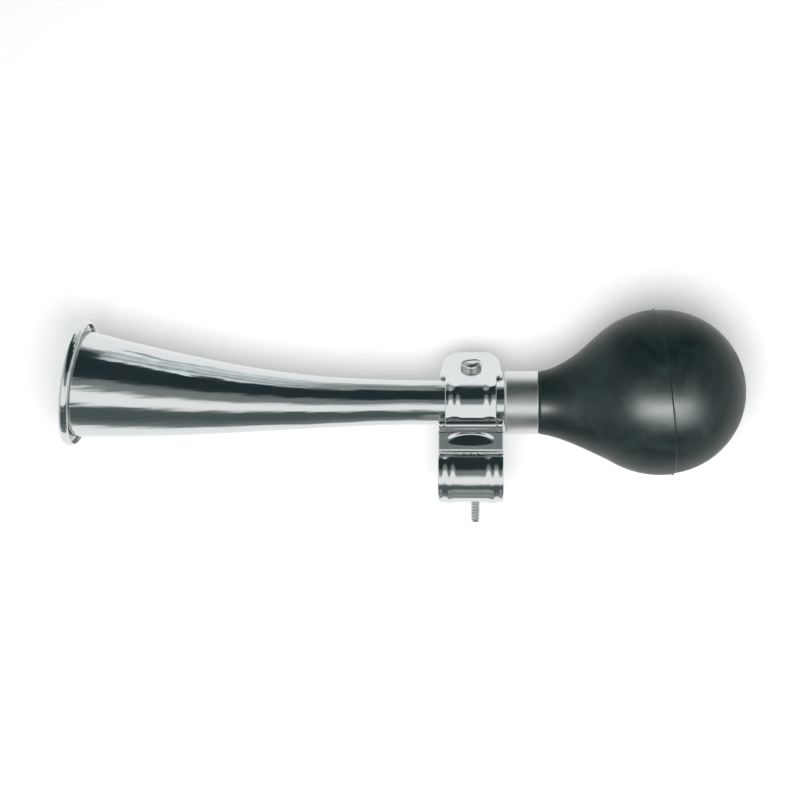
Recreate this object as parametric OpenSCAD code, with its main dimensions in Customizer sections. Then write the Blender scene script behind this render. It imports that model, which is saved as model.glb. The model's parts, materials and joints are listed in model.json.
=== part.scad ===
// Bicycle bulb horn: a bent, flared bell with a rolled rim, a reed in the neck of a rubber bulb,
// and a strap clamp that holds the horn above the handlebar.
// Millimetres. +X runs along the horn towards the bulb, +Z is up, and +Y is the clamp's ear side.
// The origin is the centre of the handlebar bore.

/* [Handlebar clamp] */
// Diameter of the handlebar that the lower loop takes
bar_d = 22.2; // [20:0.1:24]
// Thickness of the strap steel
strap_t = 0.9; // [0.7:0.05:1.1]
// Width of the straps round the handlebar
strap_w = 27.2; // [26.4:0.2:31]
// Width of the back strap where it cradles the horn
cradle_w = 26.2; // [23:0.2:26.6]
// Height of the horn's axis above the handlebar's
axis_z = 29.75; // [28.75:0.25:31.5]
// Gap between the two ears behind the handlebar
bar_ear_gap = 3.8; // [2.6:0.4:4.2]
// How far the handlebar ears reach from the bar's axis
bar_ear_reach = 22.5; // [21.5:0.5:26]
// Distance from the bar's axis to the lower screw
bar_screw_y = 17; // [16.8:0.1:18]
// Where the lower screw stands along the straps
bar_screw_x = 1.7; // [-2:0.1:2]
// How far round the front strap climbs above the bar's front
front_climb = 40; // [34:1:44]

/* [Horn saddle and cap] */
// Width of the hinged cap
cap_w = 21.4; // [17:0.2:21.8]
// Width of the cap's flat ear
cap_ear_w = 24.6; // [21:0.2:26]
// Length of the cap's ear from the line where it leaves the tube
cap_ear_len = 26.8; // [23:0.2:29]
// Corner radius of the cap's ear
ear_corner = 7.5; // [3:0.5:9]
// Slope of both upper ears, up and back
ear_slope = 28; // [22:1:34]
// Gap between the two upper ears
cap_ear_gap = 1.2; // [0.8:0.1:1.6]
// Distance from the horn's axis to the upper screw, along the ears
cap_screw_u = 13; // [12.8:0.1:14.5]
// Length of the rear ear, measured as the cap's
rear_ear_len = 20; // [18.5:0.5:23]
// Height of the cap's hinge pin above the bar's axis
hinge_z = 20.7; // [20.2:0.1:21.2]
// Distance of the hinge pin in front of the bar's axis
hinge_y = 9.5; // [9.2:0.1:10]
// Diameter of the hinge pin
hinge_pin_d = 2.4; // [2:0.1:2.6]
// Length of the hinge pin
hinge_pin_len = 26.8; // [26.2:0.1:27]
// Width of each outer hinge knuckle
knuckle_w = 2.2; // [1.2:0.1:2.2]
// Play between neighbouring knuckles
knuckle_play = 0.4; // [0.2:0.1:0.8]
// Radial play of the hinge pin
pin_play = 0.05; // [0.02:0.01:0.1]
// Radial play of the horn's stem in its saddle
stem_play = 0.05; // [0.02:0.01:0.1]

/* [Pressed beads] */
// Half distance between the two beads on the cap
cap_bead_x = 7.1; // [4:0.1:8.5]
// Half distance between the two beads on the handlebar straps
bar_bead_x = 9; // [5:0.25:11]
// How far a bead stands proud of its strap
bead_h = 0.7; // [0.3:0.05:1]
// Radius of a bead's round back
bead_r = 1.5; // [1.2:0.1:2]

/* [Screws] */
// Thread diameter of both screws
screw_d = 4; // [3.5:0.1:4]
// Length of the lower screw under its head
bar_screw_len = 25; // [20:0.5:28]
// Length of the upper screw under its head
cap_screw_len = 12; // [10:0.5:14]
// Diameter of a screw head
head_d = 8.6; // [7:0.2:9]
// Height of a screw head
head_h = 2.2; // [1.8:0.1:2.6]
// Width of the driver slot
slot_w = 1.2; // [0.8:0.1:1.6]
// Depth of the driver slot
slot_h = 1.1; // [0.8:0.1:1.3]
// Outside diameter of a washer
washer_d = 9; // [8.2:0.1:9.2]
// Thickness of a washer
washer_t = 0.8; // [0.5:0.05:1]
// Width of a nut across its flats
nut_af = 7; // [6.4:0.1:7]
// Height of a nut
nut_h = 2.4; // [2:0.1:2.6]
// Play of a screw in the holes of straps, washers and nuts
screw_play = 0.1; // [0.05:0.01:0.15]

/* [Bell] */
// Outside diameter of the straight stem
stem_d = 18.5; // [18.1:0.1:18.9]
// Thickness of the horn's brass
horn_wall = 0.6; // [0.5:0.05:0.8]
// Distance from the clamp's middle to where the flare starts
flare_x = 14.7; // [14.3:0.1:20]
// Distance from the clamp's middle to where the bend starts
bend_x = 48; // [32:1:64]
// Radius of the bend
bend_r = 855; // [740:5:1260]
// Length of the flare and bell along its axis, to the front of the rim
bell_len = 154; // [138:0.5:168]
// Length over which the flare opens, before it runs straight
flare_len = 86; // [64:1:104]
// Outside diameter of the bell at its mouth
mouth_d = 46; // [42:0.5:48]
// Outside diameter of the rolled rim
rim_d = 53.4; // [53:0.1:56]
// Radius of the roll at the rim's front
roll_r = 1.7; // [1.3:0.1:1.9]
// Straight run of the rolled edge, back from its roll
roll_back = 0.6; // [0.4:0.1:3]
// How far the rolled edge turns in at its end, in degrees
roll_tuck = 50; // [0:5:80]

/* [Ferrule] */
// Distance from the clamp's middle to the ferrule
ferrule_x = 13.8; // [13.7:0.1:14.6]
// Length of the ferrule
ferrule_len = 14; // [12:0.1:16]
// Outside diameter of the ferrule
ferrule_d = 26.4; // [25.8:0.1:27.2]
// Thickness of the ferrule
ferrule_wall = 0.6; // [0.4:0.05:0.8]
// Radius of the ferrule's rounded front edge
ferrule_round = 1.3; // [0.8:0.1:2]
// Thickness of the rubber gasket inside the ferrule
gasket_t = 1; // [0.6:0.1:1.4]

/* [Reed] */
// Distance from the clamp's middle to the flange of the reed block
reed_flange_x = 25; // [24:0.2:27]
// Thickness of that flange
reed_flange_t = 1.2; // [0.8:0.1:2]
// Length of the block's plug inside the stem
reed_plug_len = 8; // [5:0.5:10]
// Diameter of the shallot, the tube that the reed beats on
shallot_d = 9; // [8:0.2:10]
// Bore of the shallot
shallot_bore = 4.6; // [4:0.2:5]
// Length of the shallot beyond the flange
shallot_len = 21; // [18:0.5:24]
// Height of the shallot's flat face above its axis
shallot_flat = 2.9; // [2.8:0.1:3.1]
// Width of the slot in the flat face
reed_slot_w = 3; // [2:0.2:4]
// Width of the reed tongue
tongue_w = 5.6; // [4.4:0.2:6]
// Thickness of the reed tongue
tongue_t = 0.3; // [0.2:0.05:0.4]
// Lift of the tongue's free end above the flat face
tongue_lift = 0.9; // [0.8:0.1:1.2]
// Length of the tongue
tongue_len = 16.4; // [14:0.2:17]
// Length of the ring that clamps the tongue
clip_len = 3; // [2:0.2:4]
// Thickness of that ring
clip_t = 0.8; // [0.6:0.1:1]

/* [Bulb] */
// Radius of the bulb's round end
bulb_r = 34.6; // [32:0.2:37]
// Distance from the clamp's middle to the centre of the round end, along the bent axis
bulb_x = 79.8; // [76:0.2:86]
// Half length of the bulb's front half
bulb_front_a = 37.8; // [36:0.2:42]
// Thickness of the rubber
bulb_wall = 3; // [2.6:0.05:3.05]
// Angle that the neck bends up
neck_bend = 6.6; // [4:0.2:9]
// Length over which the neck bends
neck_bend_len = 24; // [17:0.5:29]
// Distance from the clamp's middle to where the neck starts to swell
swell_x = 28.6; // [28.2:0.1:30]
// Length of that swelling
swell_len = 28; // [25:0.5:32]
// Distance of the moulded seam behind the bulb's centre
seam_back = 1; // [0.5:0.5:8]
// How much smaller in radius the rear half is at the seam
seam_step = 0.35; // [0.1:0.05:0.6]

/* [Hidden] */
$fn = 96;

chrome = "#c9cfd2";
zinc = "#a9adb0";
satin = "#b9bdbe";
brass = "#c9a24a";
rubber = "#1f2628";

bell_sides = 48;
bulb_sides = 48;
eps = 0.01;
flat_gap = 0.1;
running_gap = 0.3;

bar_r = bar_d / 2;
stem_r = stem_d / 2;
saddle_r = stem_r + stem_play;
screw_r = screw_d / 2;
hole_r = screw_r + screw_play + 0.15;

// The hinge: its place from the horn's axis, the knuckle round it, and the line of the cap's link.
hinge = [-hinge_y, hinge_z - axis_z];
knuckle_in = hinge_pin_d / 2 + pin_play;
knuckle_mid = knuckle_in + strap_t / 2;
knuckle_out = knuckle_in + strap_t;
cap_mid = saddle_r + strap_t / 2;
hinge_angle = 360 + atan2(hinge[1], hinge[0]);
link_angle = hinge_angle - acos((cap_mid + knuckle_mid) / norm(hinge));
link_len = sqrt(norm(hinge) ^ 2 - (cap_mid + knuckle_mid) ^ 2);
ear_angle = 90 + ear_slope;

// The waist between the two straps. The front sheet stands under the knuckles.
waist_y = knuckle_mid - strap_t / 2 - hinge_y;
waist_back_y = waist_y + strap_t;
waist_top = hinge_z - knuckle_out - running_gap * 4;
joggle = running_gap + 0.05;
cradle_start_y = waist_back_y + joggle + strap_t / 2;
cradle_start = 180 + acos(-cradle_start_y / cap_mid);
front_end = 180 - front_climb;

// The rear ear leaves the cradle along a tangent and folds outwards under the cap's ear.
rear_ear_v = saddle_r - cap_ear_gap - strap_t;
rear_leave = 25;
rear_rise = (rear_ear_v + strap_t / 2 - cap_mid * sin(rear_leave)) / cos(rear_leave);
rear_fold_u = cap_mid * cos(rear_leave) - rear_rise * sin(rear_leave);

// The bell: radius along its axis, and the bent axis itself.
bell_straight = bend_x - flare_x;
mouth_mid = mouth_d / 2 - horn_wall / 2;
stem_mid = stem_r - horn_wall / 2;
cone_len = bell_len - flare_len;
flare_gain = (mouth_mid - stem_mid) / (flare_len / 2 + cone_len);
cone_angle = atan(flare_gain);
rim_mid = rim_d / 2 - horn_wall / 2;
lip_r = (rim_mid - roll_r - mouth_mid + flare_gain * horn_wall / 2)
    / (cos(cone_angle) - flare_gain * (1 - sin(cone_angle)));
body_end = bell_len - horn_wall / 2 - lip_r * (1 - sin(cone_angle));

// The bulb: where its neck bends and the radii along its axis.
neck_r = ferrule_d / 2 - ferrule_wall - flat_gap;
neck_start = ferrule_x + ferrule_wall + gasket_t + flat_gap;
neck_bend_x = ferrule_x + ferrule_len + 1.6;
neck_bend_r = neck_bend_len / (neck_bend * PI / 180);
seam_x = bulb_x + seam_back;
swell_end = swell_x + swell_len;
swell_end_r = bulb_r * sqrt(1 - ((bulb_x - swell_end) / bulb_front_a) ^ 2);
swell_end_slope = bulb_r ^ 2 * (bulb_x - swell_end) / (bulb_front_a ^ 2 * swell_end_r);
swell_start_r = ferrule_d / 2;
swell_start_slope = 0.14;
neck_end = ferrule_x + ferrule_len + 0.2;

shallot_r = shallot_d / 2;
shallot_end = reed_flange_x + reed_flange_t + shallot_len;
clip_x = reed_flange_x + reed_flange_t + 1.4;
tongue_x = clip_x - 0.4;
tongue_root_z = axis_z + shallot_flat + 0.05;
tongue_free = tongue_len - (clip_x + clip_len - tongue_x);

// A point along a direction in the plane.
function polar(r, a) = r * [cos(a), sin(a)];

// Radius of the sheet's middle line along the bell: a parabola, then a straight cone.
function bell_mid(s) = s < flare_len
    ? stem_mid + flare_gain * s ^ 2 / (2 * flare_len)
    : stem_mid + flare_gain * (s - flare_len / 2);

// Points along arcs that follow each other; each arc is [radius, angle it turns, steps].
// A radius of 0 stands for a straight run, and the second number is then its length.
function walk(p, heading, arcs, i = 0) = i == len(arcs) ? [] : let (
        arc = arcs[i],
        steps = [for (k = [1:arc[2]]) arc[0] == 0
            ? p + polar(arc[1] * k / arc[2], heading)
            : p + polar(arc[0], heading - 90 + arc[1] * k / arc[2] + 0) - polar(arc[0], heading - 90)],
        turned = arc[0] == 0 ? heading : heading + arc[1]
    ) concat(steps, walk(steps[len(steps) - 1], turned, arcs, i + 1));

// The closed outline of a sheet of the given thickness along a middle line.
function heading_at(path, i) = let (
        a = path[max(i - 1, 0)],
        b = path[min(i + 1, len(path) - 1)]
    ) atan2(b[1] - a[1], b[0] - a[0]);
function sheet(path, t) = concat(
    [for (i = [0:len(path) - 1]) path[i] + polar(t / 2, heading_at(path, i) + 90)],
    [for (i = [len(path) - 1:-1:0]) path[i] - polar(t / 2, heading_at(path, i) + 90)]
);

// Place along an axis that runs straight, then bends up over a given angle, then runs straight.
// It gives the point in the XZ plane and the heading there, for a run along +X.
function bent(s, straight, radius, most) = let (
        turn = max(0, min(s - straight, radius * most * PI / 180)),
        a = turn / radius * 180 / PI,
        on = s - max(turn, 0)
    ) s <= straight
        ? [[s, 0], 0]
        : [[straight + radius * sin(a) + (on - straight) * cos(a),
            radius * (1 - cos(a)) + (on - straight) * sin(a)], a];

// A body turned round a bent axis: outline points are [distance along the axis, radius].
module bent_lathe(outline, sides, straight, radius, most) {
    n = len(outline);
    points = [for (p = outline) let (place = bent(p[0], straight, radius, most))
        for (j = [0:sides - 1]) let (q = p[1] * [cos(360 * j / sides), sin(360 * j / sides)])
            [place[0][0] - q[1] * sin(place[1]), q[0], place[0][1] + q[1] * cos(place[1])]];
    faces = [for (i = [0:n - 1]) for (j = [0:sides - 1]) let (
            a = i * sides + j,
            b = i * sides + (j + 1) % sides,
            c = ((i + 1) % n) * sides + (j + 1) % sides,
            d = ((i + 1) % n) * sides + j
        ) each [[a, c, b], [a, d, c]]];
    polyhedron(points, faces);
}

// A flat shape in the YZ plane, given width along X about the clamp's middle.
module across(width) {
    rotate([90, 0, 90]) linear_extrude(width, center = true) children();
}

// A shape turned round the X axis: its own x is the radius and its own y runs along X.
module turned() {
    rotate([90, 0, 90]) rotate_extrude() children();
}

// Part of a ring between two angles.
module ring_sector(r_in, r_out, from, to) {
    steps = ceil((to - from) / 45);
    intersection() {
        difference() {
            circle(r_out);
            circle(r_in);
        }
        polygon(concat([[0, 0]], [for (i = [0:steps]) polar(2 * r_out, from + (to - from) * i / steps)]));
    }
}

// A tab that starts on the line v = 0 and ends in two round corners.
module tab(width, length, corner) {
    translate([-width / 2, 0]) square([width, length - corner]);
    translate([corner - width / 2, 0]) square([width - 2 * corner, length]);
    for (side = [-1, 1]) translate([side * (width / 2 - corner), length - corner]) circle(corner);
}

// A pressed bead round an axis, over the outside of a strap of the given inner radius.
module bead(r_in, from, to) {
    r_out = r_in + strap_t;
    rotate([90, 0, 90]) rotate([0, 0, from]) rotate_extrude(angle = to - from) intersection() {
        translate([r_out + bead_h - bead_r, 0]) circle(bead_r);
        translate([r_in + strap_t / 2, -bead_r]) square([strap_t + bead_h, 2 * bead_r]);
    }
}

module at_horn() {
    translate([0, 0, axis_z]) children();
}

// The plane of the upper ears: its y runs up the ears and its z along the upper screw.
module at_ears() {
    at_horn() rotate([ear_slope, 0, 0]) children();
}

module bar_bore() {
    rotate([0, 90, 0]) cylinder(h = strap_w + 2, r = bar_r, center = true);
}

module bar_ear(side) {
    start = sqrt(bar_r ^ 2 - (bar_ear_gap / 2) ^ 2);
    translate([0, start, side > 0 ? bar_ear_gap / 2 : -bar_ear_gap / 2 - strap_t])
        linear_extrude(strap_t) difference() {
            tab(strap_w, bar_ear_reach - start, 3);
            translate([bar_screw_x, bar_screw_y - start]) circle(hole_r);
        }
}

// The shallow lens-shaped hollow in the waist, across the strap.
module waist_dish() {
    dish_depth = 0.35;
    dish_w = 19.6;
    dish_h = 5.8;
    top_edge = 0.25;
    across_r = dish_w ^ 2 / (8 * dish_depth);
    down_r = dish_h ^ 2 / (8 * dish_depth);
    middle = waist_top - top_edge - dish_h / 2;
    intersection() {
        translate([0, waist_y + dish_depth - across_r, middle])
            rotate_extrude($fn = 240) translate([across_r - down_r, 0]) circle(down_r);
        translate([-strap_w / 2, waist_y - strap_t, middle - dish_h / 2]) cube([strap_w, 2 * strap_t, dish_h]);
    }
}

module front_strap() {
    ear_start = asin(bar_ear_gap / 2 / bar_r);
    low = sqrt(bar_r ^ 2 - waist_back_y ^ 2) + 0.3;
    lap = 1;
    color(chrome) {
        difference() {
            union() {
                across(strap_w) {
                    ring_sector(bar_r, bar_r + strap_t, front_end, 360 - ear_start);
                    polygon([
                        polar(bar_r + strap_t - eps, front_end + lap), polar(bar_r + strap_t, front_end),
                        [waist_y, low + 0.5], [waist_y, waist_top], [waist_back_y, waist_top],
                        [waist_back_y, low], polar(bar_r, front_end), polar(bar_r - eps, front_end + lap)
                    ]);
                }
                bar_ear(-1);
                for (x = [-bar_bead_x, bar_bead_x]) translate([x, 0, 0])
                    bead(bar_r, front_end + 4, 336);
                for (side = [-1, 1]) translate([side * (cap_w / 2 + knuckle_play + knuckle_w / 2), 0, 0])
                    across(knuckle_w) {
                        translate([waist_y, waist_top - eps]) square([strap_t, hinge_z - waist_top + eps]);
                        translate([-hinge_y, hinge_z]) circle(knuckle_out);
                    }
            }
            bar_bore();
            translate([0, -hinge_y, hinge_z]) rotate([0, 90, 0])
                cylinder(h = strap_w + 2, r = knuckle_in, center = true);
            waist_dish();
        }
    }
}

module back_strap() {
    ear_start = asin(bar_ear_gap / 2 / bar_r);
    low = sqrt(bar_r ^ 2 - (waist_back_y + strap_t) ^ 2);
    bend = waist_top - 0.8;
    top = axis_z - sqrt(cap_mid ^ 2 - (waist_back_y + joggle) ^ 2);
    color(chrome) {
        difference() {
            union() {
                across(strap_w) {
                    ring_sector(bar_r, bar_r + strap_t, ear_start, 180 - asin(low / bar_r));
                    translate([waist_back_y, low]) square([strap_t, bend - low]);
                }
                across(cradle_w) {
                    polygon([
                        [waist_back_y, bend - eps], [waist_back_y + joggle, bend + 1.6],
                        [waist_back_y + joggle, top], [waist_back_y + joggle + strap_t, top],
                        [waist_back_y + joggle + strap_t, bend + 1.6], [waist_back_y + strap_t, bend - eps]
                    ]);
                    translate([0, axis_z])
                        ring_sector(saddle_r, saddle_r + strap_t, cradle_start, 360 + ear_slope + rear_leave);
                    translate([0, axis_z]) rotate(ear_slope + rear_leave)
                        translate([saddle_r, -eps]) square([strap_t, rear_rise + eps]);
                }
                bar_ear(1);
                at_ears() translate([0, rear_fold_u - strap_t / 2, rear_ear_v]) linear_extrude(strap_t)
                    tab(cradle_w, rear_ear_len - rear_fold_u + strap_t / 2, ear_corner);
                for (x = [-bar_bead_x, bar_bead_x]) translate([x, 0, 0])
                    bead(bar_r, 24, 112);
            }
            bar_bore();
            at_horn() rotate([0, 90, 0]) cylinder(h = strap_w + 2, r = saddle_r, center = true);
            at_ears() translate([0, cap_screw_u, 0]) cylinder(h = 3 * saddle_r, r = hole_r);
        }
    }
}

module saddle_cap() {
    ear_neck = 4.3;
    slot_len = 1.1;
    stop = 0.3;
    color(chrome) {
        difference() {
            union() {
                across(cap_w) {
                    translate([0, axis_z]) {
                        ring_sector(saddle_r, saddle_r + strap_t, ear_angle, link_angle);
                        rotate(link_angle) translate([saddle_r, -eps]) square([strap_t, link_len - stop]);
                    }
                    translate([-hinge_y, hinge_z]) circle(knuckle_out);
                }
                at_ears() {
                    translate([-cap_w / 2, -eps, saddle_r]) cube([cap_w, ear_neck + 2 * eps, strap_t]);
                    translate([0, ear_neck, saddle_r]) linear_extrude(strap_t) difference() {
                        tab(cap_ear_w, cap_ear_len - ear_neck, ear_corner);
                        translate([0, cap_screw_u - ear_neck]) {
                            for (u = [0, slot_len]) translate([0, u]) circle(hole_r);
                            translate([-hole_r, 0]) square([2 * hole_r, slot_len]);
                        }
                    }
                }
                at_horn() for (x = [-cap_bead_x, cap_bead_x]) translate([x, 0, 0])
                    bead(saddle_r, ear_angle + 3, link_angle - 2);
            }
            translate([0, -hinge_y, hinge_z]) rotate([0, 90, 0])
                cylinder(h = cap_w + 2, r = knuckle_in, center = true);
        }
    }
}

module cap_hinge_pin() {
    color(zinc) translate([0, -hinge_y, hinge_z]) rotate([0, 90, 0])
        cylinder(h = hinge_pin_len, r = hinge_pin_d / 2, center = true);
}

// A slotted pan-head screw: its head stands on z = 0 and its shank runs down.
module pan_screw(length) {
    edge = head_h * 0.6;
    difference() {
        union() {
            rotate_extrude() {
                square([head_d / 2 - edge, head_h]);
                square([head_d / 2, head_h - edge]);
                translate([head_d / 2 - edge, head_h - edge]) intersection() {
                    circle(edge);
                    square(edge);
                }
            }
            translate([0, 0, -length]) cylinder(h = length + eps, r = screw_r);
        }
        translate([-head_d, -slot_w / 2, head_h - slot_h]) cube([2 * head_d, slot_w, head_h]);
    }
}

module washer() {
    difference() {
        cylinder(h = washer_t, r = washer_d / 2);
        translate([0, 0, -1]) cylinder(h = washer_t + 2, r = screw_r + screw_play);
    }
}

// A hexagon nut whose top face is on z = 0, with two flats square to its own y.
module nut() {
    translate([0, 0, -nut_h]) difference() {
        cylinder(h = nut_h, r = nut_af / 2 / cos(30), $fn = 6);
        translate([0, 0, -1]) cylinder(h = nut_h + 2, r = screw_r + screw_play);
    }
}

module at_cap_screw(v) {
    at_ears() translate([0, cap_screw_u, v]) children();
}

module at_bar_screw(z) {
    translate([bar_screw_x, bar_screw_y, z]) children();
}

module cap_screw() {
    color(zinc) at_cap_screw(saddle_r + strap_t + washer_t) rotate([0, 0, 90]) pan_screw(cap_screw_len);
}

module cap_screw_washer() {
    color(zinc) at_cap_screw(saddle_r + strap_t) washer();
}

module cap_nut() {
    color(zinc) at_cap_screw(rear_ear_v) nut();
}

module bar_screw() {
    color(zinc) at_bar_screw(bar_ear_gap / 2 + strap_t + washer_t) pan_screw(bar_screw_len);
}

module bar_screw_washer() {
    color(zinc) at_bar_screw(bar_ear_gap / 2 + strap_t) washer();
}

module bar_nut() {
    color(zinc) at_bar_screw(-bar_ear_gap / 2 - strap_t) nut();
}

// The horn in one piece of brass: a straight stem, and the bell with its open roll.
module horn_bell() {
    body_rings = 16;
    lap = 1.5;
    lap_half = horn_wall / 2 - 0.08;
    start = 1;
    path = concat(
        [for (i = [0:body_rings]) let (s = start + (body_end - start) * i / body_rings) [s, bell_mid(s)]],
        walk([body_end, bell_mid(body_end)], cone_angle, [
            [lip_r, 90 - cone_angle, 3], [roll_r, 90, 4], [0, roll_back, 1], [roll_r, roll_tuck, 2]
        ])
    );
    outline = concat([[-lap, stem_mid + lap_half]], sheet(path, horn_wall), [[-lap, stem_mid - lap_half]]);
    color(chrome) at_horn() {
        translate([-flare_x, 0, 0]) mirror([1, 0, 0])
            bent_lathe(outline, bell_sides, bell_straight, bend_r, 90);
        turned() translate([stem_r - horn_wall, -flare_x]) square([horn_wall, flare_x + reed_flange_x]);
    }
}

module ferrule() {
    inner = ferrule_d / 2 - ferrule_wall;
    color(satin) at_horn() turned() {
        translate([inner, ferrule_x + ferrule_round]) square([ferrule_wall, ferrule_len - ferrule_round]);
        translate([stem_r + stem_play, ferrule_x])
            square([ferrule_d / 2 - ferrule_round - stem_r - stem_play, ferrule_wall]);
        translate([ferrule_d / 2 - ferrule_round, ferrule_x + ferrule_round]) intersection() {
            difference() {
                circle(ferrule_round);
                circle(ferrule_round - ferrule_wall);
            }
            translate([0, -ferrule_round]) square(ferrule_round);
        }
    }
}

module neck_gasket() {
    color(rubber) at_horn() turned()
        translate([stem_r + flat_gap, ferrule_x + ferrule_wall])
            square([ferrule_d / 2 - ferrule_round - stem_r - 2 * flat_gap, gasket_t]);
}

// The block that closes the stem, with the shallot that stands out into the bulb.
module reed_block() {
    start = reed_flange_x - reed_plug_len;
    bore = shallot_bore / 2;
    slot_x = clip_x + clip_len + 1;
    color(brass) at_horn() difference() {
        union() {
            turned() {
                translate([0, start]) square([stem_r - horn_wall - stem_play, reed_plug_len + eps]);
                translate([0, reed_flange_x]) square([stem_r, reed_flange_t]);
                square([shallot_r, shallot_end - shallot_r]);
            }
            translate([shallot_end - shallot_r, 0, 0]) sphere(shallot_r);
        }
        turned() {
            translate([0, start - 1]) square([bore, shallot_end - shallot_r - start + 1]);
        }
        translate([shallot_end - shallot_r, 0, 0]) sphere(bore);
        translate([reed_flange_x + reed_flange_t, -shallot_r, shallot_flat])
            cube([shallot_len + 1, shallot_d, shallot_r]);
        translate([slot_x, -reed_slot_w / 2, 0]) cube([shallot_end - shallot_r - slot_x, reed_slot_w, shallot_r]);
    }
}

// The tongue lies flat under its ring and then curls up to its free end.
module reed_tongue() {
    steps = 8;
    curl = 1.3;
    root = tongue_len - tongue_free;
    path = concat([[0, 0]], [for (i = [0:steps]) let (x = tongue_free * i / steps)
        [root + x, tongue_lift * (i / steps) ^ curl]]);
    color(brass) translate([tongue_x, 0, tongue_root_z + tongue_t / 2]) rotate([90, 0, 0])
        linear_extrude(tongue_w, center = true) polygon(sheet(path, tongue_t));
}

module reed_clip() {
    inner = shallot_r + stem_play;
    outer = inner + clip_t;
    top = shallot_flat + tongue_t + running_gap;
    color(brass) at_horn() translate([clip_x, 0, 0]) difference() {
        rotate([0, 90, 0]) cylinder(h = clip_len, r = outer);
        difference() {
            translate([-1, 0, 0]) rotate([0, 90, 0]) cylinder(h = clip_len + 2, r = inner);
            translate([-2, -outer, top]) cube([clip_len + 4, 2 * outer, outer]);
        }
    }
}

// Outside radius of the bulb at a distance along its bent axis.
function bulb_radius(s) = s <= neck_end
    ? neck_r
    : s < swell_x
    ? neck_r + (swell_start_r - neck_r) * (s - neck_end) / (swell_x - neck_end)
    : s < swell_end
    ? let (t = (s - swell_x) / swell_len)
        (2 * t ^ 3 - 3 * t ^ 2 + 1) * swell_start_r + (t ^ 3 - 2 * t ^ 2 + t) * swell_len * swell_start_slope
        + (3 * t ^ 2 - 2 * t ^ 3) * swell_end_r + (t ^ 3 - t ^ 2) * swell_len * swell_end_slope
    : s < bulb_x
    ? bulb_r * sqrt(1 - ((bulb_x - s) / bulb_front_a) ^ 2)
    : sqrt(bulb_r ^ 2 - (s - bulb_x) ^ 2);

module bulb_front() {
    rings = 15;
    path = concat(
        [for (s = [neck_start, neck_end]) [s, neck_r - bulb_wall / 2]],
        [for (i = [0:rings]) let (s = swell_x + (seam_x - swell_x) * i / rings)
            [s, bulb_radius(s) - bulb_wall / 2]]
    );
    color(rubber) at_horn()
        bent_lathe(sheet(path, bulb_wall), bulb_sides, neck_bend_x, neck_bend_r, neck_bend);
}

module bulb_rear() {
    middle = bent(bulb_x, neck_bend_x, neck_bend_r, neck_bend);
    outer = bulb_r - seam_step;
    color(rubber) at_horn() translate([middle[0][0], 0, middle[0][1]]) rotate([0, -middle[1], 0])
        turned() intersection() {
            difference() {
                circle(outer);
                circle(outer - bulb_wall);
            }
            translate([0, seam_back + flat_gap]) square([bulb_r, bulb_r]);
        }
}

front_strap();
back_strap();
saddle_cap();
cap_hinge_pin();
cap_screw();
cap_screw_washer();
cap_nut();
bar_screw();
bar_screw_washer();
bar_nut();
horn_bell();
ferrule();
neck_gasket();
reed_block();
reed_tongue();
reed_clip();
bulb_front();
bulb_rear();
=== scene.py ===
import json
import math
from itertools import accumulate
from types import SimpleNamespace

import bmesh
import bpy
from bpy.props import FloatProperty, FloatVectorProperty, IntProperty, PointerProperty
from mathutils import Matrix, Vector


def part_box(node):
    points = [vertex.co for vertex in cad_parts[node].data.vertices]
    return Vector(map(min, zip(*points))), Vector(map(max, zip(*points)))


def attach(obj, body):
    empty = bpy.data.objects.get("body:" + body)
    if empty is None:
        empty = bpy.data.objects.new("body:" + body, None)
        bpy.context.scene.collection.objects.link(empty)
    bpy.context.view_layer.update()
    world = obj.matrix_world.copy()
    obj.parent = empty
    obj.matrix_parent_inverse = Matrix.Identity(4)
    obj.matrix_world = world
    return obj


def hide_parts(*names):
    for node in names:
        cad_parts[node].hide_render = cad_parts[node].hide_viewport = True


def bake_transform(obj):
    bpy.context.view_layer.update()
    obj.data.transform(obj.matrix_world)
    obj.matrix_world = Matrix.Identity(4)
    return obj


bl_info = {
    "name": "Bicycle bulb horn",
    "version": (1, 0, 0),
    "blender": (4, 5, 0),
    "location": "3D View > Sidebar > Horn",
    "description": "Dresses a chromed bulb horn and its handlebar clamp for a studio picture",
    "category": "Object",
}

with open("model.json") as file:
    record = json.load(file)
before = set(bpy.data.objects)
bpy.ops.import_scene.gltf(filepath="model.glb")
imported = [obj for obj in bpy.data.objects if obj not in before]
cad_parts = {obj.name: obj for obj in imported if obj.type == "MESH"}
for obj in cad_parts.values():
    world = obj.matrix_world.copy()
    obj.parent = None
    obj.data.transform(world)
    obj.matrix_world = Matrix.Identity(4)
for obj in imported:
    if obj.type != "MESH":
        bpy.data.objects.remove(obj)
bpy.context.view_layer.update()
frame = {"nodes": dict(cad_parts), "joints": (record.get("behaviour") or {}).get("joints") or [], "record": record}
JOINTS = {joint["name"]: joint for joint in frame["joints"]}

# Lengths are in millimetres, except where they go to Blender, which takes metres.
MM = 0.001
BAR_RADIUS = frame["record"]["mounts"][0]["dims"]["r_mm"]
HORN_HEIGHT = JOINTS["horn_turn"]["pos_m"][2] / MM
PLAY = 0.05
WASHER = 0.8
# From the handlebar's middle to each lower ear, and between the two upper ears.
BAR_EARS, CAP_EARS = 1.9, 1.2
# Edges that turn more than this stay sharp.
SHARP = math.radians(38)


# Colours and nodes

def linear(hex_code):
    """A colour written as sRGB hex, as linear red, green and blue."""
    channels = [int(hex_code[i:i + 2], 16) / 255 for i in (1, 3, 5)]
    return tuple(c / 12.92 if c <= 0.04045 else ((c + 0.055) / 1.055) ** 2.4 for c in channels)


def shade(colour, factor=1.0):
    """The colour made lighter or darker, as red, green, blue and full alpha."""
    return (*(c * factor for c in colour), 1)


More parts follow.
